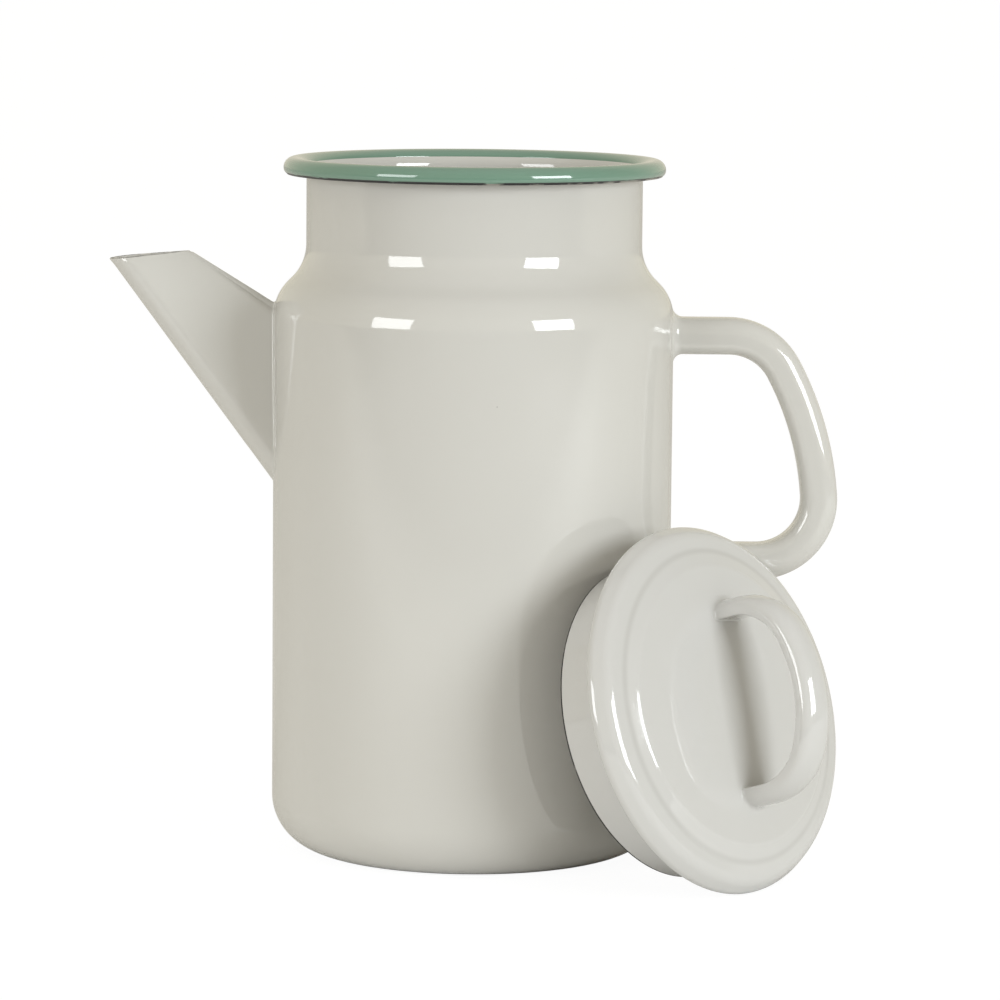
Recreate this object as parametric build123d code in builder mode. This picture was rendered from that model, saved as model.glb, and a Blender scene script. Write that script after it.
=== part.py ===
from build123d import *

import os
from math import asin, cos, degrees, radians, sin, sqrt, tan

# Driving dimensions of the pot, in millimetres and degrees
sheet = 1.2  # enamelled steel sheet of the body and the spout
body_radius = 62.5
base_corner = 16.8
shoulder_z = 174.2  # where the wall would meet the sloping shoulder
shoulder_slope = 45.0
shoulder_radius = 15.0
neck_radius = 52.4
rim_z = 217.2  # crest of the rolled rim
mouth_rounding = 5.1
bead_radius = 2.95
bead_turn = 133.0
coat = 0.3  # green enamel laid over the rolled rim
coat_inner_drop = 2.6
coat_turn = 118.0
weld_gap = 0.05  # left between the wall and what is welded onto it

# Spout, folded from one sheet and closed along its upper edge
spout_reach = 113.85
spout_tip_z = 185.3
spout_tip_length = 25.4
spout_tip_rise = 5.8
spout_keel_angle = 53.6
spout_ridge_angle = 33.1
spout_tip_keel_radius = 6.6
spout_tip_ridge_radius = 1.7
spout_root_keel_radius = 10.5
spout_root_ridge_radius = 3.0
spout_flare = 1.6
seam_radius = 1.3
seam_rise = 0.7

# Strainer pierced in the wall behind the spout, counted from the lowest row
strainer_hole = 4.6
strainer_pitch = 6.4
strainer_z = 121.0
strainer_rows = (2, 3, 2, 1, 2, 1)

# Handle of the pot, a channel closed by a strip on the side of the fingers
handle_z = 162.7
handle_straight = 79.8
handle_upper_bend = 19.8
handle_upper_turn = 61.6
handle_back_bend = 99.0
handle_back_turn = 24.0
handle_lower_bend = 19.7
handle_width = 14.5
handle_depth = 11.25
handle_outer_round = 5.4
handle_inner_round = 3.6
handle_sheet = 1.2
handle_flare = 2.6
strip_width = 7.0
strip_gap = 0.05

# Lid, drawn from one sheet
lid_sheet = 1.0
lid_play = 2.9  # between the skirt of the lid and the neck, all round
lid_radius = 56.5
lid_lip_round = 6.6
lid_nose = 1.3
lid_skirt_depth = 18.5
lid_skirt_corner = 1.2
lid_valley_width = 1.4
lid_valley_round = 4.0
lid_step = 2.4
lid_step_run = 4.4
lid_step_round = 4.0

# Handle of the lid
bow_span = 55.8
bow_height = 27.6
bow_thickness = 7.2
bow_bend = 18.5
bow_bend_turn = 66.0
bow_flare = 1.4
bow_spin = 7.8

# How the lid stands beside the pot, leaning on its wall
lean = 17.2
lean_heading = -39.6
lean_touch = -38.85
lean_gap = 0.35

# Sizes that follow from the driving ones
neck_inner = neck_radius - sheet
neck_corner_z = shoulder_z + (body_radius - neck_radius) * tan(radians(shoulder_slope))
mouth_z = rim_z - mouth_rounding
rim_centre = neck_inner + mouth_rounding


def draw_pot_outline(growth):
    """Outside of the pot from its middle up to the mouth, grown all round."""
    slant = growth * tan(radians(shoulder_slope / 2))
    return FilletPolyline(
        (0, -growth),
        (body_radius + growth, -growth),
        (body_radius + growth, shoulder_z + slant),
        (neck_radius + growth, neck_corner_z + slant),
        (neck_radius + growth, mouth_z),
        radius=[base_corner + growth, shoulder_radius + growth, shoulder_radius - growth],
    )


def flare_profile(root, radius, buried):
    """Places along X, outermost first, and how far a root has spread at each."""
    stations = [(root + radius, 0.0)]
    for share in (0.72, 0.44, 0.2, 0.04):
        distance = radius * share
        spread = radius - sqrt(radius**2 - (radius - distance) ** 2)
        stations.append((root + distance, spread))
    stations.append((buried, stations[-1][1]))
    return stations


# Outside of the pot as one filled form, which trims the roots of spout and handle
with BuildPart() as pot_form:
    with BuildSketch(Plane.XZ):
        with BuildLine():
            outside = draw_pot_outline(weld_gap)
            Polyline(outside @ 1, (0, mouth_z), outside @ 0)
        make_face()
    revolve(axis=Axis.Z)

# Body drawn from one sheet, with its shoulder, neck and rolled rim
with BuildPart() as body_shell:
    with BuildSketch(Plane.XZ):
        with BuildLine():
            wall = draw_pot_outline(0)
            mouth = JernArc(wall @ 1, (0, 1), mouth_rounding - sheet, -90)
            JernArc(mouth @ 1, mouth % 1, bead_radius - sheet, -bead_turn)
            offset(amount=sheet, side=Side.LEFT)
        make_face()
    revolve(axis=Axis.Z)
    # Strainer holes behind the spout
    with BuildSketch(Plane.YZ.offset(-body_radius)):
        for row, count in enumerate(strainer_rows):
            row_z = strainer_z + row * strainer_pitch * sin(radians(60))
            with Locations((0, row_z)):
                with GridLocations(strainer_pitch, 1, count, 1):
                    Circle(strainer_hole / 2)
    extrude(amount=4 * sheet, both=True, mode=Mode.SUBTRACT)

# Green enamel that coats the rolled rim
coat_start = asin(1 - coat_inner_drop / mouth_rounding)
with BuildPart() as rim_enamel:
    with BuildSketch(Plane.XZ):
        with BuildLine():
            inner_edge = (
                rim_centre - mouth_rounding * cos(coat_start),
                mouth_z + mouth_rounding * sin(coat_start),
            )
            lead = JernArc(
                inner_edge,
                (sin(coat_start), cos(coat_start)),
                mouth_rounding,
                degrees(coat_start) - 90,
            )
            JernArc(lead @ 1, lead % 1, bead_radius, -coat_turn)
            offset(amount=coat, side=Side.LEFT)
        make_face()
    revolve(axis=Axis.Z)


def keel_z(x):
    """Height of the spout's lower edge at a place along X."""
    return spout_tip_z - (x + spout_reach) * tan(radians(spout_keel_angle))


def ridge_z(x):
    """Height of the spout's upper edge, under the seam, at a place along X."""
    inner_x = -spout_reach + spout_tip_length * cos(radians(spout_tip_rise))
    inner_z = spout_tip_z + spout_tip_length * sin(radians(spout_tip_rise))
    return inner_z - (x - inner_x) * tan(radians(spout_ridge_angle)) - seam_rise


def draw_teardrop(low, high, keel_radius, ridge_radius):
    """Outline of the spout: a wide round keel and a narrow ridge, joined by flat sides."""
    keel_centre = low + keel_radius
    ridge_centre = high - ridge_radius
    rise = (keel_radius - ridge_radius) / (ridge_centre - keel_centre)
    run = sqrt(1 - rise**2)
    keel_side = (keel_radius * run, keel_centre + keel_radius * rise)
    ridge_side = (ridge_radius * run, ridge_centre + ridge_radius * rise)
    far_keel_side = (-keel_side[0], keel_side[1])
    far_ridge_side = (-ridge_side[0], ridge_side[1])
    Line(keel_side, ridge_side)
    ThreePointArc(ridge_side, (0, high), far_ridge_side)
    Line(far_ridge_side, far_keel_side)
    ThreePointArc(far_keel_side, (0, low), keel_side)


def draw_spout_section(x, growth, wall):
    """Outline of the spout where a plane across X cuts it, grown all round or a wall inside."""
    draw_teardrop(
        keel_z(x) - growth + wall / cos(radians(spout_keel_angle)),
        ridge_z(x) + growth - wall / cos(radians(spout_ridge_angle)),
        spout_root_keel_radius + growth - wall,
        spout_root_ridge_radius + growth - wall,
    )


tip_run = Vector(cos(radians(spout_tip_rise)), 0, sin(radians(spout_tip_rise)))
tip_plane = Plane(
    origin=(-spout_reach, 0, spout_tip_z),
    x_dir=(0, 1, 0),
    z_dir=Vector(0, 1, 0).cross(tip_run),
)
spout_root_x = sqrt(body_radius**2 - (spout_root_keel_radius * 0.8) ** 2)
spout_buried_x = spout_root_x - 3 * sheet
spout_flare_x = spout_root_x + spout_flare
seam_run = Vector(cos(radians(spout_ridge_angle)), 0, -sin(radians(spout_ridge_angle)))
seam_end = tip_plane.origin + tip_run * (spout_tip_length - seam_radius)
seam_plane = Plane(origin=seam_end - seam_run * 4 * seam_radius, x_dir=(0, 1, 0), z_dir=seam_run)
seam_length = (spout_reach - spout_buried_x) / cos(radians(spout_ridge_angle))

# Spout, a tapered beak whose cut end points up
with BuildPart() as spout:
    with BuildSketch(tip_plane):
        with BuildLine():
            draw_teardrop(0, spout_tip_length - seam_rise, spout_tip_keel_radius, spout_tip_ridge_radius)
        make_face()
    with BuildSketch(Plane.YZ.offset(-spout_flare_x)):
        with BuildLine():
            draw_spout_section(-spout_flare_x, 0, 0)
        make_face()
    loft(ruled=True)
    # Root that spreads onto the wall
    for station_x, growth in flare_profile(spout_root_x, spout_flare, spout_buried_x):
        with BuildSketch(Plane.YZ.offset(-station_x)):
            with BuildLine():
                draw_spout_section(-station_x, growth, 0)
            make_face()
    loft(ruled=True)
    # Seam along the upper edge, trimmed flush with the cut end
    with BuildSketch(seam_plane):
        Circle(seam_radius)
    extrude(amount=seam_length)
    split(bisect_by=tip_plane, keep=Keep.TOP)
    # Bore from the cut end down to the strainer
    with BuildSketch(tip_plane):
        with BuildLine():
            draw_teardrop(
                sheet,
                spout_tip_length - seam_rise - sheet,
                spout_tip_keel_radius - sheet,
                spout_tip_ridge_radius - sheet,
            )
        make_face()
    with BuildSketch(Plane.YZ.offset(-spout_flare_x)):
        with BuildLine():
            draw_spout_section(-spout_flare_x, 0, sheet)
        make_face()
    loft(ruled=True, mode=Mode.SUBTRACT)
    for station_x in (spout_flare_x, spout_buried_x):
        with BuildSketch(Plane.YZ.offset(-station_x)):
            with BuildLine():
                draw_spout_section(-station_x, 0, sheet)
            make_face()
    loft(ruled=True, mode=Mode.SUBTRACT)
    add(pot_form.part, mode=Mode.SUBTRACT)


def draw_handle_section(growth):
    """Cross-section of the pot handle: round outside, flatter on the side of the fingers."""
    Rectangle(handle_width + 2 * growth, handle_depth + 2 * growth)
    outer_corners = vertices().group_by(Axis.Y)[-1]
    inner_corners = vertices().group_by(Axis.Y)[0]
    fillet(outer_corners, handle_outer_round + growth)
    fillet(inner_corners, handle_inner_round + growth)


handle_root_x = sqrt(body_radius**2 - (handle_width / 4) ** 2)
handle_buried_x = handle_root_x - 3 * sheet

# Line along the middle of the pot handle, from the upper foot round to the lower one
with BuildPart() as handle_line:
    with BuildLine(Plane.XZ) as handle_path:
        upper_arm = Line((handle_buried_x, handle_z), (handle_straight, handle_z))
        knuckle = JernArc(upper_arm @ 1, upper_arm % 1, handle_upper_bend, -handle_upper_turn)
        back = JernArc(knuckle @ 1, knuckle % 1, handle_back_bend, -handle_back_turn)
        lower_turn = 180 - handle_upper_turn - handle_back_turn
        heel = JernArc(back @ 1, back % 1, handle_lower_bend, -lower_turn)
        Line(heel @ 1, (handle_buried_x, (heel @ 1).Z))
handle_wire = handle_path.wires()[0]
handle_foot = Plane(origin=handle_wire @ 0, x_dir=(0, 1, 0), z_dir=handle_wire % 0)
lower_foot_z = (handle_wire @ 1).Z

# Outer channel of the pot handle, with feet that spread onto the wall
with BuildPart() as handle_channel:
    with BuildSketch(handle_foot):
        draw_handle_section(0)
    sweep(path=handle_wire)
    for foot_z, side in ((handle_z, 1), (lower_foot_z, -1)):
        for station_x, growth in flare_profile(handle_root_x, handle_flare, handle_buried_x):
            station = Plane(origin=(station_x, 0, foot_z), x_dir=(0, side, 0), z_dir=(1, 0, 0))
            with BuildSketch(station):
                draw_handle_section(growth)
        loft(ruled=True)
    with BuildSketch(handle_foot):
        draw_handle_section(-handle_sheet)
    sweep(path=handle_wire, mode=Mode.SUBTRACT)
    with BuildSketch(handle_foot):
        with Locations((0, (handle_sheet - handle_depth) / 2)):
            Rectangle(strip_width, handle_sheet)
    sweep(path=handle_wire, mode=Mode.SUBTRACT)
    add(pot_form.part, mode=Mode.SUBTRACT)

# Strip that closes the channel
with BuildPart() as handle_strip:
    with BuildSketch(handle_foot):
        with Locations((0, (handle_sheet - handle_depth) / 2)):
            Rectangle(strip_width - 2 * strip_gap, handle_sheet)
    sweep(path=handle_wire)
    add(pot_form.part, mode=Mode.SUBTRACT)

# Where the lid stands: its lip on the table, the end of its skirt near the wall of the pot
lid_skirt_radius = neck_inner - lid_play
lean_cos = cos(radians(lean))
lean_sin = sin(radians(lean))
heading = Vector(cos(radians(lean_heading)), sin(radians(lean_heading)), 0)
sideways = Vector(0, 0, 1).cross(heading)
lid_axis_dir = heading * lean_cos + Vector(0, 0, lean_sin)
lid_up = Vector(0, 0, lean_cos) - heading * lean_sin
touch_reach = body_radius + lean_gap
touch = Vector(cos(radians(lean_touch)), sin(radians(lean_touch)), 0) * touch_reach
lid_foot = touch + heading * (lid_skirt_radius * lean_sin + lid_skirt_depth * lean_cos)
lid_centre = lid_foot + Vector(0, 0, (lid_radius - lid_nose) * lean_cos + lid_nose)
lid_radial = lid_up * cos(radians(bow_spin)) + sideways * sin(radians(bow_spin))
lid_section = Plane(origin=lid_centre, x_dir=lid_radial, z_dir=lid_radial.cross(lid_axis_dir))
lid_axis = Axis(origin=lid_centre, direction=lid_axis_dir)
disc_height = lid_lip_round + lid_step
valley_edge = lid_radius - lid_lip_round - lid_valley_width

# Lid with its raised disc, round lip and skirt, measured from the widest part of the lip
with BuildPart() as lid_shell:
    with BuildSketch(lid_section):
        with BuildLine():
            disc = FilletPolyline(
                (0, disc_height),
                (valley_edge - lid_step_run, disc_height),
                (valley_edge, lid_lip_round),
                (valley_edge + lid_valley_width, lid_lip_round),
                radius=[lid_step_round, lid_valley_round],
            )
            lip = JernArc(disc @ 1, (1, 0), lid_lip_round, -90)
            nose = JernArc(lip @ 1, lip % 1, lid_nose, -90)
            FilletPolyline(
                nose @ 1,
                (lid_skirt_radius, -lid_nose),
                (lid_skirt_radius, -lid_skirt_depth),
                radius=lid_skirt_corner,
            )
            offset(amount=lid_sheet, side=Side.RIGHT)
        make_face()
    revolve(axis=lid_axis)

bow_drop = bow_bend * (1 - cos(radians(bow_bend_turn)))
bow_crown = (bow_span / 2 - bow_drop) / sin(radians(90 - bow_bend_turn))
bow_crown_rise = bow_crown * (1 - cos(radians(90 - bow_bend_turn)))
bow_leg = bow_height - bow_bend * sin(radians(bow_bend_turn)) - bow_crown_rise

# Line along the middle of the lid's handle, from foot to foot
with BuildPart() as bow_line:
    with BuildLine(lid_section) as bow_path:
        leg = Line((-bow_span / 2, disc_height), (-bow_span / 2, disc_height + bow_leg))
        first_bend = JernArc(leg @ 1, leg % 1, bow_bend, -bow_bend_turn)
        crown = JernArc(first_bend @ 1, first_bend % 1, bow_crown, 2 * bow_bend_turn - 180)
        last_bend = JernArc(crown @ 1, crown % 1, bow_bend, -bow_bend_turn)
        Line(last_bend @ 1, (bow_span / 2, disc_height))
bow_wire = bow_path.wires()[0]

# Handle of the lid, a bow with feet that spread onto the disc
with BuildPart() as lid_bow:
    with BuildSketch(Plane(origin=bow_wire @ 0, x_dir=lid_section.z_dir, z_dir=lid_axis_dir)):
        Circle(bow_thickness / 2)
    sweep(path=bow_wire)
    for foot in (bow_wire @ 0, bow_wire @ 1):
        for height, growth in flare_profile(0, bow_flare, 0):
            station = Plane(
                origin=foot + lid_axis_dir * height, x_dir=lid_section.z_dir, z_dir=lid_axis_dir
            )
            with BuildSketch(station):
                Circle(bow_thickness / 2 + growth)
        loft(ruled=True)

pieces = {
    "body_shell": body_shell,
    "rim_enamel": rim_enamel,
    "spout": spout,
    "handle_channel": handle_channel,
    "handle_strip": handle_strip,
    "lid_shell": lid_shell,
    "lid_bow": lid_bow,
}
os.makedirs("parts", exist_ok=True)
for name, piece in pieces.items():
    piece.part.label = name
    export_step(piece.part, f"parts/{name}.step")

print("lid centre", lid_centre, "axis", lid_axis_dir)
print("lower foot of the handle at", round(lower_foot_z, 2))
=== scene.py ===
import math

import bpy
import numpy as np
from mathutils import Matrix, Vector


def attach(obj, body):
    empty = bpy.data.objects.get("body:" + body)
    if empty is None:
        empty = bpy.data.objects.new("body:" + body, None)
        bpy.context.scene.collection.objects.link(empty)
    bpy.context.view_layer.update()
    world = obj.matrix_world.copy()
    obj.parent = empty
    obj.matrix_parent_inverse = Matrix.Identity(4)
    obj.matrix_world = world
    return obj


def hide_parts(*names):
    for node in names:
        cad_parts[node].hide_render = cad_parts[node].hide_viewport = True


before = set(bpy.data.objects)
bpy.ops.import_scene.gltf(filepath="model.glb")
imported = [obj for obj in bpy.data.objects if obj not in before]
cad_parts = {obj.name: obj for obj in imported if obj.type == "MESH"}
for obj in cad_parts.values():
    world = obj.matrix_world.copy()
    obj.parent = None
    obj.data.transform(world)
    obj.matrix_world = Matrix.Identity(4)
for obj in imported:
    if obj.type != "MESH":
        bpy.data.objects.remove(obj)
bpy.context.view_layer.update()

# Lengths of the pieces are in millimetres. The floor, the lamps and the camera are in metres.
# Angles are in degrees where nothing says otherwise.
MM = 0.001

# Body and rim, measured along the outside of the sheet
SHEET = 1.2
BODY_RADIUS = 62.5
BASE_ROUND = 16.8
SHOULDER_START = 167.987
SHOULDER_ROUND = 15.0
SHOULDER_SLOPE = 45.0
SHOULDER_FLAT = 1.857
SHOULDER_END = 190.513
SHOULDER_RISE = SHOULDER_ROUND * math.sin(math.radians(SHOULDER_SLOPE))
MOUTH_Z = 212.1
RIM_CENTRE = 56.3
RIM_FLARE = 3.9
RIM_ROLL = 1.75
COATED_TURN = 121.0
BARE_TURN = 12.0
BARE_BANDS = 3

RING_POINTS = 224  # points once round a turned piece
ON_AXIS = 1e-6  # a smaller radius is a point on the axis
CREASE = 32.0  # edges that turn by more stay sharp

# A root of enamel where a piece stands on a wall: its bands, and how its edge is tucked in
ROOT_STEPS = 8
ROOT_FLARE = 0.6
ROOT_DEPTH = 0.12


# Profiles and meshes


class Pen:
    """Draws a flat line from straight and round strokes and keeps the heading at each point."""

    def __init__(self, point, heading):
        self.point = np.array(point, float)
        self.heading = math.radians(heading)
        self.points = []
        self.headings = []
        self.mark()

    def mark(self):
        self.points.append(self.point.copy())
        self.headings.append(self.heading)

    def go(self, length, steps=1):
        direction = np.array([math.cos(self.heading), math.sin(self.heading)])
        for _ in range(steps):
            self.point = self.point + direction * length / steps
            self.mark()
        return self

    def turn(self, radius, degrees, fine=4.0):
        """Turns to the left, or right for negative degrees, in steps no coarser than fine."""
        steps = max(2, int(math.ceil(abs(degrees) / fine)))
        side = math.copysign(1.0, degrees)
        left = np.array([-math.sin(self.heading), math.cos(self.heading)])
        centre = self.point + left * radius * side
        for _ in range(steps):
            self.heading += math.radians(degrees) / steps
            left = np.array([-math.sin(self.heading), math.cos(self.heading)])
            self.point = centre - left * radius * side
            self.mark()
        return self

    def line(self, shift=0.0):
        """Points of the line, moved to its left by the shift: one for all, or a column of them."""
        headings = np.array(self.headings)
        left = np.stack([-np.sin(headings), np.cos(headings)], axis=1)
        return np.array(self.points) + left * shift


def unit(vectors):
    return vectors / np.linalg.norm(vectors, axis=-1, keepdims=True)


def facing(vectors, toward):
    """The vectors, each turned round where it points away from its partner."""
    return vectors * np.sign(np.sum(vectors * toward, axis=1, keepdims=True))


def angle_between(first, second):
    """Angles between unit vectors, as a column."""
    return np.arccos(np.clip(np.sum(first * second, axis=1, keepdims=True), -1, 1))


def ring_tangent(points):
    """Direction of a closed row of points at each of them."""
    return np.roll(points, -1, axis=0) - np.roll(points, 1, axis=0)


def put(points, place):
    """Moves rows of points by a placing matrix."""
    return points @ np.array(place.to_3x3()).T + np.array(place.translation)


def make_object(name, verts, faces, materials, face_slots=None, sharp=CREASE):
    mesh = bpy.data.meshes.new(name)
    mesh.from_pydata((np.asarray(verts) * MM).tolist(), [], faces)
    for material in materials:
        mesh.materials.append(material)
    if face_slots is not None:
        mesh.polygons.foreach_set("material_index", face_slots)
    mesh.polygons.foreach_set("use_smooth", [True] * len(mesh.polygons))
    mesh.set_sharp_from_angle(angle=math.radians(sharp))
    mesh.validate()
    mesh.update()
    obj = bpy.data.objects.new(name, mesh)
    bpy.context.scene.collection.objects.link(obj)
    return obj


def revolve(name, loop, slots, materials, place=None):
    """Turns a closed loop of (radius, height) points about the Z axis, then puts it in place.

    slots gives, for each point, the material slot of the band from there to the next point.
    """
    angles = np.linspace(0, 2 * math.pi, RING_POINTS, endpoint=False)
    verts, rings = [], []
    for radius, height in loop:
        if radius < ON_AXIS:
            rings.append([len(verts)] * RING_POINTS)
            verts.append((0.0, 0.0, height))
        else:
            rings.append(list(range(len(verts), len(verts) + RING_POINTS)))
            verts.extend((radius * math.cos(a), radius * math.sin(a), height) for a in angles)
    faces, face_slots = [], []
    for low, high, slot in zip(rings, rings[1:] + rings[:1], slots):
        low_is_point, high_is_point = low[0] == low[1], high[0] == high[1]
        if low_is_point and high_is_point:
            continue
        for k in range(RING_POINTS):
            n = (k + 1) % RING_POINTS
            if low_is_point:
                faces.append([low[0], high[n], high[k]])
            elif high_is_point:
                faces.append([low[k], low[n], high[0]])
            else:
                faces.append([low[k], low[n], high[n], high[k]])
            face_slots.append(slot)
    verts = np.array(verts)
    if place is not None:
        verts = put(verts, place)
    return make_object(name, verts, faces, materials, face_slots)


def grid_object(name, rows, materials, row_slots=None, caps=False, sharp=CREASE):
    """Joins rows of points, each closed on itself, into a skin. caps closes both its ends."""
    width = len(rows[0])
    faces, face_slots = [], []
    for j in range(len(rows) - 1):
        here, beyond = j * width, (j + 1) * width
        for i in range(width):
            n = (i + 1) % width
            faces.append([here + i, here + n, beyond + n, beyond + i])
            face_slots.append(row_slots[j] if row_slots else 0)
    if caps:
        last = (len(rows) - 1) * width
        faces += [list(range(width))[::-1], list(range(last, last + width))]
        face_slots += [0, 0]
    return make_object(name, np.concatenate(rows), faces, materials, face_slots, sharp)


def swept_rows(pen, section, place):
    """Sections along a flat path. place turns (along u, along v, across) into room points."""
    rows = []
    for point, heading in zip(pen.line(), pen.headings):
        left = np.array([-math.sin(heading), math.cos(heading)])
        flat = point + section[:, 1:] * left
        rows.append(place(flat[:, 0], flat[:, 1], section[:, 0]))
    return rows


def root_rows(corner, side_normal, wall_normal, radius):
    """Rows of a rounded root: from the wall to the side of what stands on it."""
    along = unit(np.cross(wall_normal, side_normal))
    out_on_wall = facing(np.cross(along, wall_normal), side_normal)
    up_the_side = facing(np.cross(along, side_normal), wall_normal)
    opening = angle_between(out_on_wall, up_the_side)
    centre = corner + unit(out_on_wall + up_the_side) * radius / np.sin(opening / 2)
    swing = angle_between(wall_normal, side_normal)
    rows = []
    for share in np.arange(ROOT_STEPS + 1) / ROOT_STEPS:
        from_wall = np.sin((1 - share) * swing) * wall_normal
        from_side = np.sin(share * swing) * side_normal
        rows.append(centre - (from_wall + from_side) / np.sin(swing) * radius)
    buried = rows[0] + out_on_wall * ROOT_FLARE - wall_normal * ROOT_DEPTH
    return [buried] + rows


def wall_radius(z):
    """Outside radius of the pot's wall and of its shoulder, which goes on at 45 degrees."""
    rise = np.clip(z - SHOULDER_START, 0, SHOULDER_RISE)
    round_part = BODY_RADIUS - SHOULDER_ROUND + np.sqrt(SHOULDER_ROUND**2 - rise**2)
    return round_part - np.clip(z - SHOULDER_START - SHOULDER_RISE, 0, None)


def onto_wall(points, corner, wall_normal):
    """Bends points worked out on a flat wall onto the round one, at the same height over it."""
    height = np.sum((points - corner) * wall_normal, axis=1)
    reach = np.hypot(points[:, 0], points[:, 1])
    wanted = wall_radius(points[:, 2]) + height
    bent = points.copy()
    bent[:, :2] *= (wanted / reach)[:, None]
    return bent


def smooth_rows(rows, first, last, rounds):
    """Evens out some rows of a skin, leaving the rows outside them where they are."""
    block = np.stack(rows)
    for _ in range(rounds):
        around = (np.roll(block, 1, axis=1) + np.roll(block, -1, axis=1)) / 2
        across = block.copy()
        across[1:-1] = (block[:-2] + block[2:]) / 2
        even = 0.5 * block + 0.25 * around + 0.25 * across
        block[first:last] = even[first:last]
    return list(block)


# Materials


CREAM = (0.668, 0.657, 0.628)
CREAM_SHADE = (0.657, 0.643, 0.608)
LID_CREAM = (0.655, 0.650, 0.640)
LID_SHADE = (0.645, 0.637, 0.620)
GREEN = (0.190, 0.322, 0.245)
GREEN_SHADE = (0.166, 0.292, 0.219)
GROUND = (0.018, 0.018, 0.020)
WORN_LID = (0.22, 0.21, 0.19)
WORN_RIM = (0.27, 0.26, 0.23)
# Colour of the painted shade in the valley of the lid's top
CREASE_SHADE_COLOUR = (0.44, 0.43, 0.41)

# Specks in the glaze: where in a cell they fade and are full, which cells have one, how dark
SPECK_EDGE = 0.035
SPECK_CORE = 0.02
SPECK_CHANCE = 0.86
SPECK_DARK = 0.45

# How soft the change from ground coat to top enamel is
PATCH_BLEND = 0.12


def set_inputs(tree, node, inputs):
    """Sets sockets, by name or number, each to a value or to another node's output."""
    for socket, value in inputs.items():
        if isinstance(value, bpy.types.NodeSocket):
            tree.links.new(value, node.inputs[socket])
        else:
            node.inputs[socket].default_value = value


def add_node(tree, kind, inputs, **settings):
    node = tree.nodes.new("ShaderNode" + kind)
    for name, value in settings.items():
        setattr(node, name, value)
    set_inputs(tree, node, inputs)
    return node


def new_material(name):
    """A material, its node tree and shader, and the socket with the object's coordinates."""
    material = bpy.data.materials.new(name)
    material.use_nodes = True
    tree = material.node_tree
    place = add_node(tree, "TexCoord", {}).outputs["Object"]
    return material, tree, tree.nodes["Principled BSDF"], place


def enamel(name, colour, shade, speck_strength=0.5):
    """Glossy vitreous enamel: slightly uneven colour, an even glassy surface, a faint ripple."""
    material, tree, shader, place = new_material(name)
    cloud = add_node(tree, "TexNoise", {"Vector": place, "Scale": 14.0, "Detail": 3.0})
    tint = add_node(
        tree,
        "MixRGB",
        {"Fac": cloud.outputs["Fac"], "Color1": (*colour, 1), "Color2": (*shade, 1)},
    )
    # Pinholes and dust, at the middle of a few cells
    cells = add_node(tree, "TexVoronoi", {"Vector": place, "Scale": 130.0})
    dot = add_node(
        tree,
        "MapRange",
        {
            "Value": cells.outputs["Distance"],
            "From Min": SPECK_EDGE,
            "From Max": SPECK_CORE,
            "To Max": speck_strength,
        },
    )
    draw = add_node(tree, "SeparateColor", {"Color": cells.outputs["Color"]})
    chosen = add_node(
        tree, "Math", {0: draw.outputs["Red"], 1: SPECK_CHANCE}, operation="GREATER_THAN"
    )
    both = add_node(
        tree,
        "Math",
        {0: dot.outputs["Result"], 1: chosen.outputs["Value"]},
        operation="MULTIPLY",
    )
    speck = add_node(
        tree,
        "MixRGB",
        {
            "Fac": both.outputs["Value"],
            "Color1": tint.outputs["Color"],
            "Color2": (*(SPECK_DARK * np.array(shade)), 1),
        },
    )
    # Ripple of the fired glaze
    ripple = add_node(tree, "TexNoise", {"Vector": place, "Scale": 85.0, "Detail": 2.0})
    bump = add_node(
        tree, "Bump", {"Height": ripple.outputs["Fac"], "Strength": 0.05, "Distance": 0.001}
    )
    rough = add_node(
        tree, "MapRange", {"Value": cloud.outputs["Fac"], "To Min": 0.045, "To Max": 0.075}
    )
    set_inputs(
        tree,
        shader,
        {
            "Base Color": speck.outputs["Color"],
            "Normal": bump.outputs["Normal"],
            "Roughness": rough.outputs["Result"],
            "IOR": 1.5,
            "Coat Weight": 0.8,
            "Coat Roughness": 0.03,
        },
    )
    return material


def raw_edge(name, light, cover, drift=0.0):
    """Ground coat at an edge where the top enamel burnt thin, in uneven patches.

    A higher cover leaves more of the dark ground coat bare. drift moves the edge toward its
    light colour by this much per metre along X, toward the handle.
    """
    material, tree, shader, place = new_material(name)
    patches = add_node(tree, "TexNoise", {"Vector": place, "Scale": 160.0, "Detail": 4.0})
    axes = add_node(tree, "SeparateXYZ", {"Vector": place})
    wear = add_node(
        tree,
        "Math",
        {0: axes.outputs["X"], 1: drift, 2: patches.outputs["Fac"]},
        operation="MULTIPLY_ADD",
    )
    ramp = add_node(tree, "ValToRGB", {"Fac": wear.outputs["Value"]})
    bare, coated = ramp.color_ramp.elements
    bare.position, bare.color = cover, (*GROUND, 1)
    coated.position, coated.color = cover + PATCH_BLEND, (*light, 1)
    bump = add_node(
        tree, "Bump", {"Height": patches.outputs["Fac"], "Strength": 0.25, "Distance": 0.0005}
    )
    set_inputs(
        tree,
        shader,
        {
            "Base Color": ramp.outputs["Color"],
            "Normal": bump.outputs["Normal"],
            "Roughness": 0.32,
        },
    )
    return material


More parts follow.
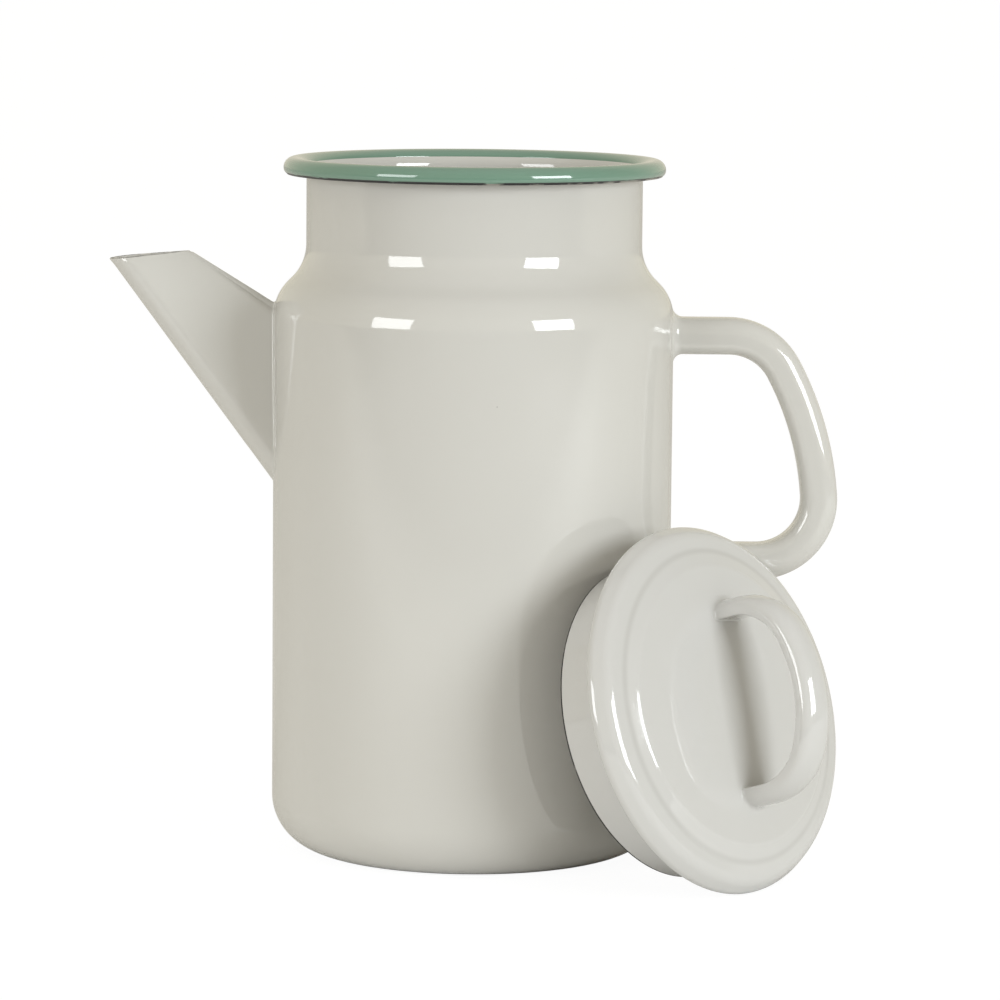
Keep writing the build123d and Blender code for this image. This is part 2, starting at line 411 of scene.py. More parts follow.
def painted_crease_shade(material, centre, axis, radius, spread, strength):
    """Painted shade in a round crease: a soft darker ring about an axis, painted into the base
    colour.
    """
    tree = material.node_tree
    shader = tree.nodes["Principled BSDF"]
    plain = shader.inputs["Base Color"].links[0].from_socket
    place = add_node(tree, "TexCoord", {}).outputs["Object"]
    arm = add_node(tree, "VectorMath", {0: place, 1: centre}, operation="SUBTRACT")
    across = add_node(
        tree, "VectorMath", {0: arm.outputs["Vector"], 1: axis}, operation="CROSS_PRODUCT"
    )
    reach = add_node(tree, "VectorMath", {0: across.outputs["Vector"]}, operation="LENGTH")
    beside = add_node(
        tree, "Math", {0: reach.outputs["Value"], 1: radius}, operation="SUBTRACT"
    )
    away = add_node(tree, "Math", {0: beside.outputs["Value"]}, operation="ABSOLUTE")
    fade = add_node(
        tree,
        "MapRange",
        {"Value": away.outputs["Value"], "From Max": spread, "To Min": strength, "To Max": 0.0},
        interpolation_type="SMOOTHSTEP",
    )
    mix = add_node(
        tree,
        "MixRGB",
        {"Fac": fade.outputs["Result"], "Color1": plain, "Color2": (*CREASE_SHADE_COLOUR, 1)},
    )
    set_inputs(tree, shader, {"Base Color": mix.outputs["Color"]})


cream = enamel("cream_enamel", CREAM, CREAM_SHADE)
lid_cream = enamel("lid_enamel", LID_CREAM, LID_SHADE)
lid_top = enamel("lid_top_enamel", LID_CREAM, LID_SHADE)
green = enamel("green_enamel", GREEN, GREEN_SHADE, speck_strength=0.2)
# Dark band at the skirt's edge: bare ground coat, and in part painted shade of the gap against the
# wall
dark_edge = raw_edge("ground_coat_and_gap_shade_edge", WORN_LID, cover=0.62)
rim_edge = raw_edge("rim_ground_coat", WORN_RIM, cover=0.57, drift=3.0)
thin_edge = raw_edge("thin_enamel_edge", CREAM_SHADE, cover=0.46)
worn_green = raw_edge("worn_green_edge", GREEN_SHADE, cover=0.55)


# Body: one drawn sheet with a rolled rim, up its outside and back along its inside

outline = Pen((0, 0), 0)
outline.go(BODY_RADIUS - BASE_ROUND, 6).turn(BASE_ROUND, 90, 3)
outline.go(SHOULDER_START - BASE_ROUND, 24)
outline.turn(SHOULDER_ROUND, SHOULDER_SLOPE, 3).go(SHOULDER_FLAT, 2)
outline.turn(SHOULDER_ROUND, -SHOULDER_SLOPE, 3).go(MOUTH_Z - SHOULDER_END, 6)
outline.turn(RIM_FLARE, -90, 4).turn(RIM_ROLL, -COATED_TURN, 6).turn(RIM_ROLL, -BARE_TURN, 4)
outer = outline.line()
inner = outline.line(SHEET)
loop = np.concatenate([outer, inner[::-1]])
slots = [0] * len(loop)
# The end of the sheet under the rim is left bare
for i in range(len(outer) - 1 - BARE_BANDS, len(outer) + BARE_BANDS):
    slots[i] = 1
body = revolve("body", loop, slots, [cream, rim_edge])

# Strainer holes behind the spout, in a triangular grid. Their outlines are turned by half a step,
# so that no point of them falls on an edge of the wall's mesh.
HOLE_ROWS = (2, 3, 2, 1, 2, 1)
HOLE_LOWEST = 121.0
HOLE_PITCH = 6.4
HOLE_RADIUS = 2.3
HOLE_POINTS = 28
DRILL_ENDS = (-66.0, -58.0)
hole_angles = np.linspace(0, 2 * math.pi, HOLE_POINTS, endpoint=False) + math.pi / HOLE_POINTS
hole_ring = [(HOLE_RADIUS * math.cos(a), HOLE_RADIUS * math.sin(a)) for a in hole_angles]
verts, faces = [], []
for row, count in enumerate(HOLE_ROWS):
    hole_z = HOLE_LOWEST + row * HOLE_PITCH * math.sin(math.radians(60))
    for k in range(count):
        hole_y = (k - (count - 1) / 2) * HOLE_PITCH
        near = list(range(len(verts), len(verts) + HOLE_POINTS))
        far = [point + HOLE_POINTS for point in near]
        for x in DRILL_ENDS:
            verts.extend((x, hole_y + u, hole_z + v) for u, v in hole_ring)
        for i in range(HOLE_POINTS):
            n = (i + 1) % HOLE_POINTS
            faces.append([near[i], near[n], far[n], far[i]])
        faces += [near[::-1], far]
drill = make_object("drill", verts, faces, [cream])
cut = body.modifiers.new("strainer", "BOOLEAN")
cut.object = drill
cut.operation = "DIFFERENCE"
cut.solver = "EXACT"
bpy.context.view_layer.update()
cut_body = body.evaluated_get(bpy.context.evaluated_depsgraph_get())
carved = bpy.data.meshes.new_from_object(cut_body)
body.modifiers.clear()
body.data = carved
body.data.set_sharp_from_angle(angle=math.radians(CREASE))
bpy.data.objects.remove(drill)
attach(body, "pot")
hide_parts("body_shell")


# Green enamel of the rim, laid over the top of the rolled sheet and thin at both its edges

COAT = 0.3
COAT_DROP = 2.0  # how far it reaches down inside the mouth
COAT_FADE = 0.9  # width over which it thins out
COAT_WORN = 0.25  # width of its worn lower edge
COAT_SINK = 0.05  # how far its underside lies in the sheet
flare = RIM_FLARE + SHEET
coat_start = math.asin(1 - COAT_DROP / flare)
coat_line = Pen(
    (RIM_CENTRE - flare * math.cos(coat_start), MOUTH_Z + flare * math.sin(coat_start)),
    90 - math.degrees(coat_start),
)
coat_line.turn(flare, math.degrees(coat_start) - 90, 3).turn(RIM_ROLL + SHEET, -COATED_TURN, 4)
steps = np.hypot(*np.diff(coat_line.line(), axis=0).T)
travel = np.concatenate([[0], np.cumsum(steps)])
from_edge = np.minimum(travel, travel[-1] - travel)
thick = COAT * np.clip(from_edge / COAT_FADE, 0, 1) ** 0.5
under = coat_line.line(-COAT_SINK)
over = coat_line.line(thick[:, None])
loop = np.concatenate([under, over[::-1]])
slots = [0] * len(under) + [int(t > travel[-1] - COAT_WORN) for t in travel[::-1]]
rim = revolve("rim_coat", loop, slots, [green, worn_green])
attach(rim, "pot")
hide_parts("rim_enamel")


# Spout: a beak of folded sheet with a seam along its ridge, cut across at the tip. The keel is
# its lower edge and the ridge its upper one.

TIP_REACH = 113.85  # from the pot's axis to the point of the tip
TIP_Z = 185.3
TIP_LENGTH = 25.4  # of the cut
TIP_RISE = math.radians(5.8)
TIP_WORN = 1.0
KEEL_SLOPE = math.radians(53.6)
RIDGE_SLOPE = math.radians(33.1)
TIP_KEEL = 6.6
TIP_RIDGE = 1.7
ROOT_KEEL = 10.5
ROOT_RIDGE = 3.0
ROOT_X = -64.9
BORE_X = -61.9  # the bore ends inside the wall's sheet
SEAM = 1.3
SEAM_RISE = 0.7
SEAM_BLEND = 7
SPOUT_ROOT = 0.6
KEEL_POINTS = 16
SIDE_POINTS = 10
RIDGE_POINTS = 22
SKIN_ROWS = 30
BORE_ROWS = 16
# Rows over the cut edge: share of the way from the outside to the bore, height over the cut
CUT_EDGE = ((0.0, -0.35), (0.12, -0.1), (0.3, 0.0), (0.7, 0.0), (0.88, -0.1), (1.0, -0.35))
tip_run = np.array([math.cos(TIP_RISE), 0, math.sin(TIP_RISE)])
tip_origin = np.array([-TIP_REACH, 0, TIP_Z])
seam_end = tip_origin + tip_run * (TIP_LENGTH - SEAM)


def keel_z(x):
    return TIP_Z - (x + TIP_REACH) * math.tan(KEEL_SLOPE)


def ridge_z(x):
    inner_x = -TIP_REACH + TIP_LENGTH * math.cos(TIP_RISE)
    inner_z = TIP_Z + TIP_LENGTH * math.sin(TIP_RISE)
    return inner_z - (x - inner_x) * math.tan(RIDGE_SLOPE) - SEAM_RISE


def beak(low, high, keel, ridge, bead=None):
    """Outline (across, up) of the spout, once round from the keel.

    low and high are the heights of keel and ridge, and then come their radii. bead is the
    height and the half height of the seam's bead, where there is one.
    """
    keel_centre = low + keel
    ridge_centre = high - ridge
    lean = math.asin((keel - ridge) / (ridge_centre - keel_centre))
    half = []
    for a in np.linspace(-math.pi / 2, lean, KEEL_POINTS):
        half.append((keel * math.cos(a), keel_centre + keel * math.sin(a)))
    foot = np.array(half[-1])
    head = np.array([ridge * math.cos(lean), ridge_centre + ridge * math.sin(lean)])
    for share in np.linspace(0, 1, SIDE_POINTS)[1:-1]:
        half.append(tuple(foot + (head - foot) * share))
    top = high if bead is None else bead[0] + bead[1]
    for share in np.linspace(0, 1, RIDGE_POINTS):
        v = head[1] + (top - head[1]) * math.sin(share * math.pi / 2)
        over_ridge = max(ridge**2 - (v - ridge_centre) ** 2, 0.0)
        wide = math.sqrt(over_ridge) if v < high else 0.0
        if bead is not None:
            bead_wide = SEAM * math.sqrt(max(1 - ((v - bead[0]) / bead[1]) ** 2, 0.0))
            wide = (wide**SEAM_BLEND + bead_wide**SEAM_BLEND) ** (1 / SEAM_BLEND)
        half.append((wide, v))
    half = np.array(half)
    far = half[1:-1][::-1] * np.array([-1, 1])
    return np.concatenate([half, far])


def tip_points(flat, lift=0.0):
    """Points of an outline laid on the slanting cut of the tip, or at a height over it."""
    across = np.array([0, 1, 0])
    square = np.cross(across, tip_run)
    return tip_origin + flat[:, :1] * across + flat[:, 1:] * tip_run - square * lift


def upright_points(flat, x):
    """Points of an outline laid in an upright plane."""
    return np.stack([np.full(len(flat), x), flat[:, 0], flat[:, 1]], axis=1)


def blended(first, last, steps):
    """Rows between two rows, with neither of them."""
    return [first * (1 - share) + last * share for share in np.linspace(0, 1, steps)[1:-1]]


root_seam_z = seam_end[2] - (ROOT_X - seam_end[0]) * math.tan(RIDGE_SLOPE)
tip_flat = beak(0, TIP_LENGTH - SEAM_RISE, TIP_KEEL, TIP_RIDGE, (TIP_LENGTH - SEAM, SEAM))
root_flat = beak(
    keel_z(ROOT_X),
    ridge_z(ROOT_X),
    ROOT_KEEL,
    ROOT_RIDGE,
    (root_seam_z, SEAM / math.cos(RIDGE_SLOPE)),
)
tip_in = beak(SHEET, TIP_LENGTH - SEAM_RISE - SHEET, TIP_KEEL - SHEET, TIP_RIDGE - SHEET)
root_in = beak(
    keel_z(ROOT_X) + SHEET / math.cos(KEEL_SLOPE),
    ridge_z(ROOT_X) - SHEET / math.cos(RIDGE_SLOPE),
    ROOT_KEEL - SHEET,
    ROOT_RIDGE - SHEET,
)
tip_outer = tip_points(tip_flat)
run = unit(upright_points(root_flat, ROOT_X) - tip_outer)
# Where each straight line of the spout meets the round wall
a = run[:, 0] ** 2 + run[:, 1] ** 2
b = tip_outer[:, 0] * run[:, 0] + tip_outer[:, 1] * run[:, 1]
c = tip_outer[:, 0] ** 2 + tip_outer[:, 1] ** 2 - BODY_RADIUS**2
reach = (-b - np.sqrt(b**2 - a * c)) / a
meet = tip_outer + run * reach[:, None]
side_normal = facing(unit(np.cross(ring_tangent(meet), run)), meet - meet.mean(axis=0))
wall_normal = unit(meet * np.array([1, 1, 0]))
root = root_rows(meet, side_normal, wall_normal, SPOUT_ROOT)
root = [onto_wall(row, meet, wall_normal) for row in root]
skin = smooth_rows(root + blended(root[-1], tip_outer, SKIN_ROWS), first=3, last=14, rounds=6)
edge = [tip_points(tip_flat * (1 - share) + tip_in * share, lift) for share, lift in CUT_EDGE]
bore_start, bore_end = tip_points(tip_in), upright_points(root_in, BORE_X)
bore = blended(bore_start, bore_end, BORE_ROWS) + [bore_end]
# The first row comes last once more, which closes the skin inside the wall
rows = skin + edge + bore + [skin[0]]
slots = [0] * (len(rows) - 1)
# The flat of the cut has a thin coat, and so has its lowest point
for j in range(len(skin) + 1, len(skin) + 4):
    slots[j] = 1
spout = grid_object("spout_skin", rows, [cream, thin_edge], row_slots=slots, sharp=40)
for polygon in spout.data.polygons:
    if (Vector(tip_origin) * MM - polygon.center).length < TIP_WORN * MM:
        polygon.material_index = 1
spout.data.flip_normals()
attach(spout, "pot")
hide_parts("spout")


# Pot handle: a D from the upper foot round to the lower one

GRIP_WIDE = 14.5
GRIP_DEEP = 11.25
GRIP_ROUND = 4.9
FINGER_ROUND = 3.6
CORNER_POINTS = 18
GRIP_Z = 162.7
GRIP_START = 67.5  # distances from the pot's axis
GRIP_STRAIGHT_END = 79.8
GRIP_BENDS = ((19.8, -61.6, 4), (99.0, -24, 2), (19.7, -94.4, 4))  # radius, degrees, fine
UPPER_ROOT = 3.0
LOWER_ROOT = 2.6
STRIP_START = 66.0
# Half of the strip's outline, from its edge to its middle: half width, height over the bar
STRIP_HALF = ((3.45, 0.3), (3.45, 0.0), (3.25, -0.10), (2.4, -0.13), (0, -0.14))


def round_bar(width, depth, outer_round, inner_round):
    """Outline (across, outward) of the handle, rounder outside than toward the fingers."""
    half_w, half_d = width / 2, depth / 2
    corners = (
        (half_w - outer_round, half_d - outer_round, outer_round, 0),
        (-half_w + outer_round, half_d - outer_round, outer_round, 90),
        (-half_w + inner_round, -half_d + inner_round, inner_round, 180),
        (half_w - inner_round, -half_d + inner_round, inner_round, 270),
    )
    points = []
    for cx, cy, r, start in corners:
        for angle in np.radians(np.linspace(start, start + 90, CORNER_POINTS)):
            points.append((cx + r * math.cos(angle), cy + r * math.sin(angle)))
    return np.array(points)


def grip_path(start):
    """Middle line of the handle, from and to a distance from the pot's axis."""
    path = Pen((start, GRIP_Z), 0)
    path.go(GRIP_STRAIGHT_END - start, 4)
    for radius, degrees, fine in GRIP_BENDS:
        path.turn(radius, degrees, fine)
    return path.go(path.point[0] - start, 4)


def on_xz(u, v, w):
    return np.stack([u, w, v], axis=1)


bar = round_bar(GRIP_WIDE, GRIP_DEEP, GRIP_ROUND, FINGER_ROUND)


def handle_foot(z, up, radius):
    """Rounded foot on the wall, as rows outward. up is 1 at the upper foot, -1 at the lower."""
    y = bar[:, 0]
    corner = np.stack([np.sqrt(BODY_RADIUS**2 - y**2), y, z + up * bar[:, 1]], axis=1)
    tangent = ring_tangent(bar)
    normal = unit(np.stack([np.zeros(len(bar)), tangent[:, 1], -up * tangent[:, 0]], axis=1))
    outward = (corner - np.array([0, 0, z])) * np.array([0, 1, 1])
    wall = unit(corner * np.array([1, 1, 0]))
    rows = root_rows(corner, facing(normal, outward), wall, radius)
    return [onto_wall(row, corner, wall) for row in rows]


path = grip_path(GRIP_START)
upper = handle_foot(GRIP_Z, 1, UPPER_ROOT)
lower = handle_foot(path.point[1], -1, LOWER_ROOT)
rows = upper + swept_rows(path, bar, on_xz) + lower[::-1]
rows = smooth_rows(rows, first=2, last=len(rows) - 2, rounds=1)
handle = grid_object("pot_handle", rows, [cream], caps=True)
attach(handle, "pot")
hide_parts("handle_channel")

# Strip let into the side of the fingers, its edges softened by the enamel
strip_flat = [(-half, rise) for half, rise in STRIP_HALF] + list(STRIP_HALF[-2::-1])
strip_flat = np.array(strip_flat) - np.array([0, GRIP_DEEP / 2])
rows = swept_rows(grip_path(STRIP_START), strip_flat, on_xz)
strip = grid_object("finger_strip", rows, [cream], caps=True)
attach(strip, "pot")
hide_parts("handle_strip")


# Lid, standing on its lip and leaning on the pot's wall

LEAN = math.radians(17.2)  # back from upright
HEADING = math.radians(-39.6)  # the way its top faces, from the pot's handle
TOUCH = math.radians(-38.85)  # where on the wall its skirt leans
TOUCH_GAP = 0.35
SPIN = math.radians(5.9)  # turn of the bow about the lid's own axis
LID_SHEET = 1.0
LID_RADIUS = 56.5
NOSE = 1.3
SKIRT_RADIUS = 48.3
SKIRT_DEPTH = 18.5
SKIRT_ROUND = 1.2
up = Vector((0, 0, 1))
heading = Vector((math.cos(HEADING), math.sin(HEADING), 0))
sideways = up.cross(heading)
lid_axis = heading * math.cos(LEAN) + up * math.sin(LEAN)
lid_up = up * math.cos(LEAN) - heading * math.sin(LEAN)
touch_point = Vector((math.cos(TOUCH), math.sin(TOUCH), 0)) * (BODY_RADIUS + TOUCH_GAP)
lid_foot = touch_point + heading * (SKIRT_RADIUS * math.sin(LEAN) + SKIRT_DEPTH * math.cos(LEAN))
lid_centre = lid_foot + up * ((LID_RADIUS - NOSE) * math.cos(LEAN) + NOSE)
lid_radial = lid_up * math.cos(SPIN) + sideways * math.sin(SPIN)
lid_across = lid_axis.cross(lid_radial)
lid_turn = Matrix((lid_radial, lid_across, lid_axis)).transposed().to_4x4()
lid_place = Matrix.Translation(lid_centre) @ lid_turn

# Profile of the lid from its middle: a slightly domed disc, a step with a flank, a valley, a
# sloping ring, and a lip in two rounds with a flat between them. Slopes are in degrees.
DOME_SLOPE = 5.0
STEP_ROUND = 5.0
STEP_SLOPE = 24.0
STEP_LOW_ROUND = 8.0
FLANK = 2.6
FLANK_SLOPE = 20.0
VALLEY_ROUND = 12.0
VALLEY_RADIUS = 49.0
RING_SLOPE = 9.0
LIP_ROUND = 4.8
LIP_SLOPE = 60.0
LIP_FLAT = 2.2
LIP_LOW_ROUND = 3.5
RAW_EDGE = 0.6  # height of the dark band at the skirt's edge: bare ground coat, made this wide to also hold painted shade of the gap between skirt and wall
EDGE_ROUND = 0.25
EDGE_RISE = 0.12
TOP_ABOVE = 2.0  # the top of the lid, whose valley gets the painted shade, is what lies above this height
# Painted shade along the lid's valley: where its darker ring lies, how wide it fades, how dark it
# is
CREASE_SHADE_RADIUS = 47.9
CREASE_SHADE_SPREAD = 1.6
CREASE_SHADE_STRENGTH = 0.32


def arc(radius, from_slope, to_slope):
    """Run and drop of an arc between two slopes."""
    low, high = math.radians(from_slope), math.radians(to_slope)
    run = radius * (math.sin(high) - math.sin(low))
    drop = radius * (math.cos(low) - math.cos(high))
    return np.array([run, drop])


def straight(length, slope):
    """Run and drop of a straight stroke."""
    return length * np.array([math.cos(math.radians(slope)), math.sin(math.radians(slope))])


lip_size = (
    arc(LIP_ROUND, RING_SLOPE, LIP_SLOPE)
    + arc(LIP_LOW_ROUND, LIP_SLOPE, 90)
    + straight(LIP_FLAT, LIP_SLOPE)
)
step_size = (
    arc(STEP_ROUND, DOME_SLOPE, STEP_SLOPE)
    + arc(STEP_LOW_ROUND, FLANK_SLOPE, STEP_SLOPE)
    + arc(VALLEY_ROUND, RING_SLOPE, FLANK_SLOPE)
    + straight(FLANK, FLANK_SLOPE)
)
ring_run = LID_RADIUS - lip_size[0] - VALLEY_RADIUS
ring_length = ring_run / math.cos(math.radians(RING_SLOPE))
ring_drop = ring_run * math.tan(math.radians(RING_SLOPE))
dome_radius = (VALLEY_RADIUS - step_size[0]) / math.sin(math.radians(DOME_SLOPE))
dome_drop = arc(dome_radius, 0, DOME_SLOPE)[1]
disc_top = lip_size[1] + ring_drop + step_size[1] + dome_drop
lid_line = Pen((0, disc_top), 0)
lid_line.turn(dome_radius, -DOME_SLOPE, 0.5)
lid_line.turn(STEP_ROUND, DOME_SLOPE - STEP_SLOPE, 2)
lid_line.turn(STEP_LOW_ROUND, STEP_SLOPE - FLANK_SLOPE, 1).go(FLANK, 3)
lid_line.turn(VALLEY_ROUND, FLANK_SLOPE - RING_SLOPE, 1.6).go(ring_length, 3)
lid_line.turn(LIP_ROUND, RING_SLOPE - LIP_SLOPE, 4).go(LIP_FLAT, 2)
lid_line.turn(LIP_LOW_ROUND, LIP_SLOPE - 90, 4).turn(NOSE, -90, 6)
lid_line.go(LID_RADIUS - NOSE - SKIRT_RADIUS - SKIRT_ROUND, 2).turn(SKIRT_ROUND, 90, 9)
lid_line.go(SKIRT_DEPTH - NOSE - SKIRT_ROUND - RAW_EDGE, 6).go(RAW_EDGE)
lid_outer = lid_line.line()
lid_inner = lid_line.line(-LID_SHEET)
# The skirt's raw edge has both its corners rounded
skirt_edge = [
    lid_outer[-1] + (0, EDGE_RISE),
    (SKIRT_RADIUS - EDGE_ROUND, -SKIRT_DEPTH),
    (SKIRT_RADIUS - LID_SHEET + EDGE_ROUND, -SKIRT_DEPTH),
    lid_inner[-1] + (0, EDGE_RISE),
]
loop = np.concatenate([lid_outer[:-1], skirt_edge, lid_inner[:-1][::-1]])
slots = [2 if height > TOP_ABOVE else 0 for height in lid_outer[:, 1]]
slots += [0] * (len(loop) - len(slots))
# The edge of the skirt is painted dark: bare ground coat, and painted shade of the gap between
# skirt and wall
for i in range(len(lid_outer) - 2, len(lid_outer) + 3):
    slots[i] = 1
# Painted shade: a darker ring painted into the colour of the lid's top along its valley
painted_crease_shade(lid_top, lid_centre * MM, lid_axis, CREASE_SHADE_RADIUS * MM, CREASE_SHADE_SPREAD * MM, CREASE_SHADE_STRENGTH)
lid = revolve("lid_skin", loop, slots, [lid_cream, dark_edge, lid_top], lid_place)
lid.data.flip_normals()
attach(lid, "lid")
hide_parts("lid_shell")


# Bow of the lid: a strap, half round outside and flat inside, with two feet on the disc

BOW_HALF = 27.9  # from its middle to each foot
BOW_SHIFT = 2.4  # off the lid's middle
BOW_HEIGHT = 27.2
BOW_BEND = 18.5  # radius of the bend over each foot
BOW_TURN = 66.0  # and how far it turns
BOW_WIDE = 6.1  # half width of the strap
BOW_DOME = 4.0  # height of its round side
BOW_FLAT = 2.1  # depth of its flat side
BOW_EDGE = 0.7  # rounding where the two sides meet
BOW_ROOT = 1.2
BOW_SINK = 0.2
BOW_START = 1.6  # height over the disc at which the foot ends and the strap begins
DOME_POINTS = 25
EDGE_POINTS = 7
bow_section = []
for t in np.linspace(0, math.pi, DOME_POINTS):
    bow_section.append((BOW_WIDE * math.cos(t), BOW_DOME * math.sin(t)))
for side, start in ((-1, 180), (1, 270)):
    for t in np.radians(np.linspace(start, start + 90, EDGE_POINTS)):
        across = side * (BOW_WIDE - BOW_EDGE) + BOW_EDGE * math.cos(t)
        bow_section.append((across, BOW_EDGE - BOW_FLAT + BOW_EDGE * math.sin(t)))
bow_section = np.array(bow_section)
turn = math.radians(BOW_TURN)
bow_crown = (BOW_HALF - BOW_BEND * (1 - math.cos(turn))) / math.cos(turn)
bow_leg = BOW_HEIGHT - BOW_BEND * math.sin(turn) - bow_crown * (1 - math.sin(turn))
bow_base = disc_top - dome_radius + math.sqrt(dome_radius**2 - BOW_HALF**2) - BOW_SINK
bow_place = lid_place @ Matrix.Translation((0, -BOW_SHIFT, 0))
bow_path = Pen((-BOW_HALF, bow_base + BOW_START), 90)
bow_path.go(bow_leg - BOW_START, 4).turn(BOW_BEND, -BOW_TURN, 4)
bow_path.turn(bow_crown, 2 * BOW_TURN - 180, 3)
bow_path.turn(BOW_BEND, -BOW_TURN, 4).go(bow_leg - BOW_START, 4)


def on_lid(u, v, w):
    return put(np.stack([u, -w, v], axis=1), bow_place)


def bow_foot(centre, side):
    """Rounded foot on the disc, as rows from the disc upward."""
    across, outward = bow_section[:, 0], -side * bow_section[:, 1]
    flat = np.stack([centre + outward, -across, np.full(len(across), bow_base)], axis=1)
    tangent = ring_tangent(flat)
    normal = unit(np.stack([tangent[:, 1], -tangent[:, 0], np.zeros(len(across))], axis=1))
    normal = facing(normal, flat - np.array([centre, 0, bow_base]))
    upward = np.tile(np.array([0.0, 0.0, 1.0]), (len(across), 1))
    return [put(row, bow_place) for row in root_rows(flat, normal, upward, BOW_ROOT)]


rows = swept_rows(bow_path, bow_section, on_lid)
rows = bow_foot(-BOW_HALF, 1) + rows + bow_foot(BOW_HALF, -1)[::-1]
bow = grid_object("lid_handle", rows, [lid_cream], caps=True)
bow.data.flip_normals()
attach(bow, "lid")
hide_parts("lid_bow")


# Floor: a white sheet that ends in front of the pot, out of view. It shows white to the camera
# and keeps a little of the shadow.

FLOOR_RADIUS = 25.0
FLOOR_POINTS = 96
SHEET_END = -0.47
SHEET_FADE = 0.35
PAPER_DULL = (0.91, 0.91, 0.91)
PAPER_BRIGHT = (0.93, 0.93, 0.93)
BEYOND_SHEET = (0.12, 0.115, 0.11)
GLOW = 1.06
GLOW_SHARE = 0.9
floor_verts = []
for a in np.linspace(0, 2 * math.pi, FLOOR_POINTS, endpoint=False):
    floor_verts.append((FLOOR_RADIUS / MM * math.cos(a), FLOOR_RADIUS / MM * math.sin(a), 0.0))
floor_material, tree, shader, place = new_material("white_table")
grain = add_node(tree, "TexNoise", {"Scale": 3.0})
tint = add_node(
    tree,
    "MixRGB",
    {"Fac": grain.outputs["Fac"], "Color1": (*PAPER_DULL, 1), "Color2": (*PAPER_BRIGHT, 1)},
)
spot = add_node(tree, "SeparateXYZ", {"Vector": place})
beyond = add_node(
    tree,
    "MapRange",
    {"Value": spot.outputs["Y"], "From Min": SHEET_END, "From Max": SHEET_END - SHEET_FADE},
)
paper = add_node(
    tree,
    "MixRGB",
    {
        "Fac": beyond.outputs["Result"],
        "Color1": tint.outputs["Color"],
        "Color2": (*BEYOND_SHEET, 1),
    },
)
set_inputs(tree, shader, {"Base Color": paper.outputs["Color"], "Roughness": 0.9})
glow = add_node(tree, "Emission", {"Strength": GLOW})
rays = add_node(tree, "LightPath", {})
share = add_node(
    tree, "Math", {0: rays.outputs["Is Camera Ray"], 1: GLOW_SHARE}, operation="MULTIPLY"
)
blend = add_node(
    tree,
    "MixShader",
    {"Fac": share.outputs["Value"], 1: shader.outputs["BSDF"], 2: glow.outputs["Emission"]},
)
set_inputs(tree, tree.nodes["Material Output"], {"Surface": blend.outputs["Shader"]})
floor = make_object("floor", floor_verts, [list(range(FLOOR_POINTS))], [floor_material])


# Room around the pot: lightest behind the pot and to its left, darker to the right and behind
# the camera. The camera itself sees white.

# Light by azimuth: 0 is behind the pot, positive to the camera's right
ROOM = (
    (-180, 0.37),
    (-140, 0.47),
    (-100, 0.58),
    (-65, 0.60),
    (-40, 0.69),
    (0, 0.69),
    (40, 0.65),
    (65, 0.44),
    (100, 0.36),
    (140, 0.43),
    (180, 0.37),
)
ROOM_TINT = (1.0, 0.95, 0.78)
CEILING = 0.56
CEILING_TINT = (1.0, 0.96, 0.88)
CEILING_START = 0.6  # sine of the elevation
CEILING_FULL = 0.9
ROOM_SCALE = 4.0  # the colours are kept below one and the background's strength makes up for it


def room_colour(light, tint):
    return (*(light / ROOM_SCALE * part for part in tint), 1)


world = bpy.data.worlds.new("studio")
bpy.context.scene.world = world
world.use_nodes = True
tree = world.node_tree
sky = add_node(tree, "TexCoord", {}).outputs["Generated"]
way = add_node(tree, "SeparateXYZ", {"Vector": sky})
azimuth = add_node(
    tree, "Math", {0: way.outputs["X"], 1: way.outputs["Y"]}, operation="ARCTAN2"
)
turned = add_node(
    tree,
    "MapRange",
    {"Value": azimuth.outputs["Value"], "From Min": -math.pi, "From Max": math.pi},
)
walls = add_node(tree, "ValToRGB", {"Fac": turned.outputs["Result"]})
stops = walls.color_ramp.elements
while len(stops) < len(ROOM):
    stops.new(0.5)
for stop, (angle, light) in zip(stops, ROOM):
    stop.position = angle / 360 + 0.5
    stop.color = room_colour(light, ROOM_TINT)
overhead = add_node(
    tree,
    "MapRange",
    {"Value": way.outputs["Z"], "From Min": CEILING_START, "From Max": CEILING_FULL},
    interpolation_type="SMOOTHSTEP",
)
room = add_node(
    tree,
    "MixRGB",
    {
        "Fac": overhead.outputs["Result"],
        "Color1": walls.outputs["Color"],
        "Color2": room_colour(CEILING, CEILING_TINT),
    },
)
rays = add_node(tree, "LightPath", {})
seen = add_node(
    tree,
    "MixRGB",
    {
        "Fac": rays.outputs["Is Camera Ray"],
        "Color1": room.outputs["Color"],
        "Color2": room_colour(1.0, (1, 1, 1)),
    },
)
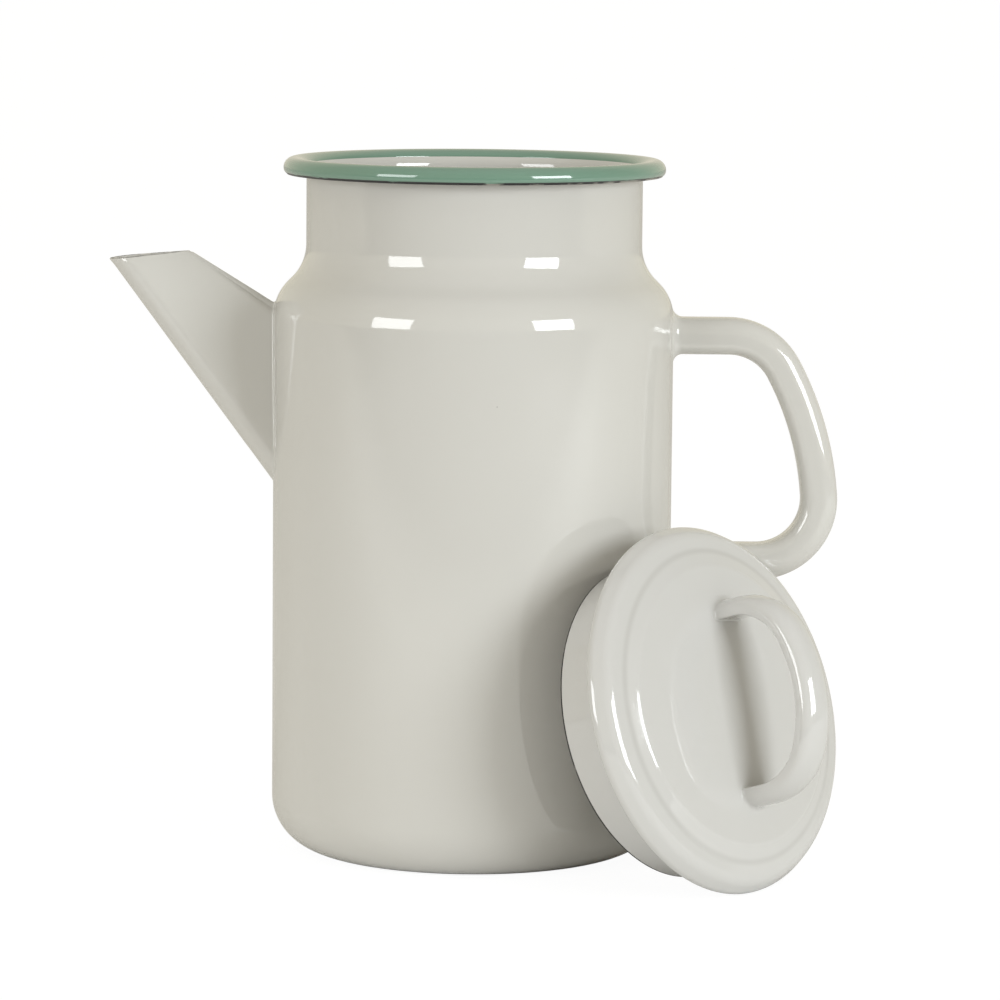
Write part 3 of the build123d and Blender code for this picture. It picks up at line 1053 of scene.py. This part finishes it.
set_inputs(
    tree,
    tree.nodes["Background"],
    {"Color": seen.outputs["Color"], "Strength": ROOM_SCALE},
)


# Two softboxes, one on each side of the camera

LAMP_AZIMUTH = 47
LAMP_ELEVATION = 12.5
LAMP_DISTANCE = 1.7
LAMP_WIDTH = 0.72
LAMP_HEIGHT = 0.63
LAMP_TARGET = Vector((0, 0, 0.14))
LEFT_LAMP = 5.7
LEFT_TINT = (0.955, 0.98, 1.0)
RIGHT_LAMP = 10.9
RIGHT_TINT = (0.935, 0.975, 1.0)


def softbox(name, azimuth, radiance, colour):
    """A lamp that faces the pot. Azimuth 0 is the camera's side, positive to its right."""
    lamp = bpy.data.lights.new(name, "AREA")
    lamp.shape = "RECTANGLE"
    lamp.size = LAMP_WIDTH
    lamp.size_y = LAMP_HEIGHT
    lamp.color = colour
    lamp.energy = radiance * math.pi * LAMP_WIDTH * LAMP_HEIGHT
    az, el = math.radians(azimuth), math.radians(LAMP_ELEVATION)
    away = Vector((math.sin(az) * math.cos(el), -math.cos(az) * math.cos(el), math.sin(el)))
    obj = bpy.data.objects.new(name, lamp)
    obj.location = LAMP_TARGET + away * LAMP_DISTANCE
    obj.rotation_euler = away.to_track_quat("Z", "Y").to_euler()
    bpy.context.scene.collection.objects.link(obj)


softbox("softbox_left", -LAMP_AZIMUTH, LEFT_LAMP, LEFT_TINT)
softbox("softbox_right", LAMP_AZIMUTH, RIGHT_LAMP, RIGHT_TINT)


# Camera, fitted to the ellipses of the rim and the base

CAMERA_PLACE = (0.00876, -1.49698, 0.29397)
CAMERA_TILT = math.radians(83)
CAMERA_ROLL = 0.009  # radians
camera = bpy.data.objects.new("camera", bpy.data.cameras.new("camera"))
camera.data.lens = 172.8
camera.data.sensor_width = 36
camera.data.clip_end = 50
camera.matrix_world = (
    Matrix.Translation(CAMERA_PLACE)
    @ Matrix.Rotation(CAMERA_TILT, 4, "X")
    @ Matrix.Rotation(CAMERA_ROLL, 4, "Z")
)
bpy.context.scene.collection.objects.link(camera)
bpy.context.scene.camera = camera
bpy.context.scene.view_settings.view_transform = "Standard"
